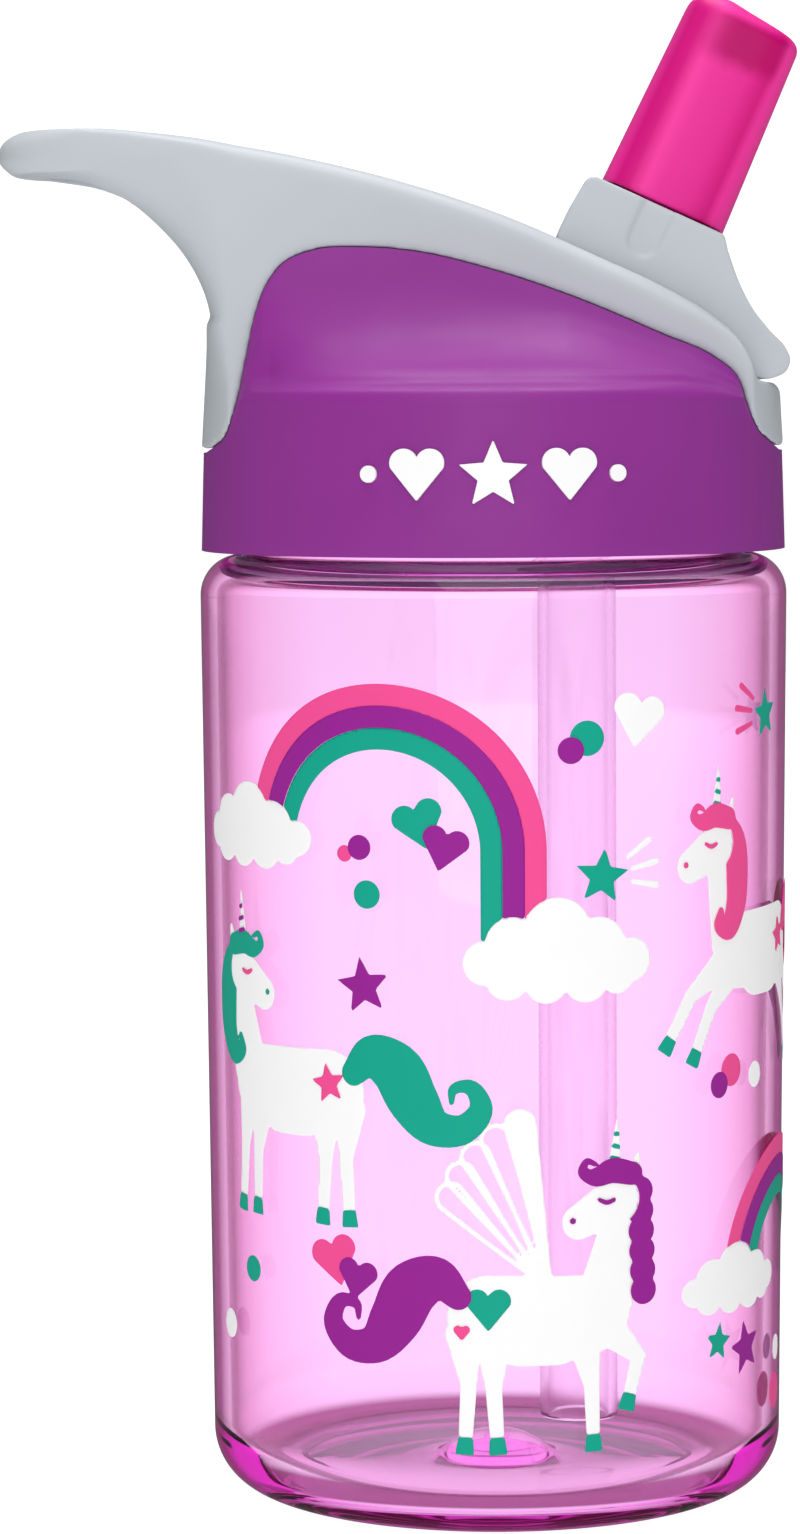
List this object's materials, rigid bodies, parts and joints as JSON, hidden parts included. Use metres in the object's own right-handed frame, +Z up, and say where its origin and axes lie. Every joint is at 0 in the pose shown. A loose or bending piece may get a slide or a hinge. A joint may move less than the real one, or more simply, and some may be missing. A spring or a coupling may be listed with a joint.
{
  "type": "kids water bottle",
  "caption": "Clear tapered drinking bottle with a screw cap, a flip-up straw spout with a soft bite valve, and a carry handle with a finger hole.",
  "frame": {"origin": "centre of the base on the bottle's axis, at the height of the ring it stands on", "axes": "+Z up along the bottle's axis, +X towards the side that the open spout leans to, -X towards the carry handle"},
  "size_m": [0.0991, 0.073, 0.1862],
  "materials": {
    "clear_pink": "gloss",
    "straw_plastic": "gloss",
    "grey_plastic": "satin",
    "purple_plastic": "satin",
    "pink_silicone": "satin",
    "white_silicone": "matte",
    "print_white": "satin",
    "print_pink": "satin",
    "print_purple": "satin",
    "print_teal": "satin"
  },
  "bodies": {
    "bottle": {"bottle_body": "clear_pink"},
    "gasket_ring": {"neck_gasket": "white_silicone"},
    "cap": {"inner_cap": "grey_plastic", "cap_sleeve": "purple_plastic", "handle_saddle": "grey_plastic", "port_seal": "white_silicone", "vent_valve": "white_silicone", "straw": "straw_plastic"},
    "spout": {"spout_arm": "grey_plastic", "bite_valve": "pink_silicone"}
  },
  "joints": [
    {"name": "cap_rise", "type": "slide", "parent": "bottle", "child": "gasket_ring", "axis": [0, 0, 1], "range_m": [0, 0.00551]},
    {"name": "cap_unscrew", "type": "hinge", "parent": "gasket_ring", "child": "cap", "pos_m": [0, 0, 0.125], "axis": [0, 0, 1], "range_deg": [0, 495]},
    {"name": "spout_flip", "type": "hinge", "parent": "cap", "child": "spout", "pos_m": [0.0132, 0, 0.142], "axis": [0, -1, 0], "range_deg": [0, 90]}
  ],
  "couplings": [
    {"joint": "cap_rise", "follows": "cap_unscrew", "m_per_rad": 0.00063662}
  ]
}
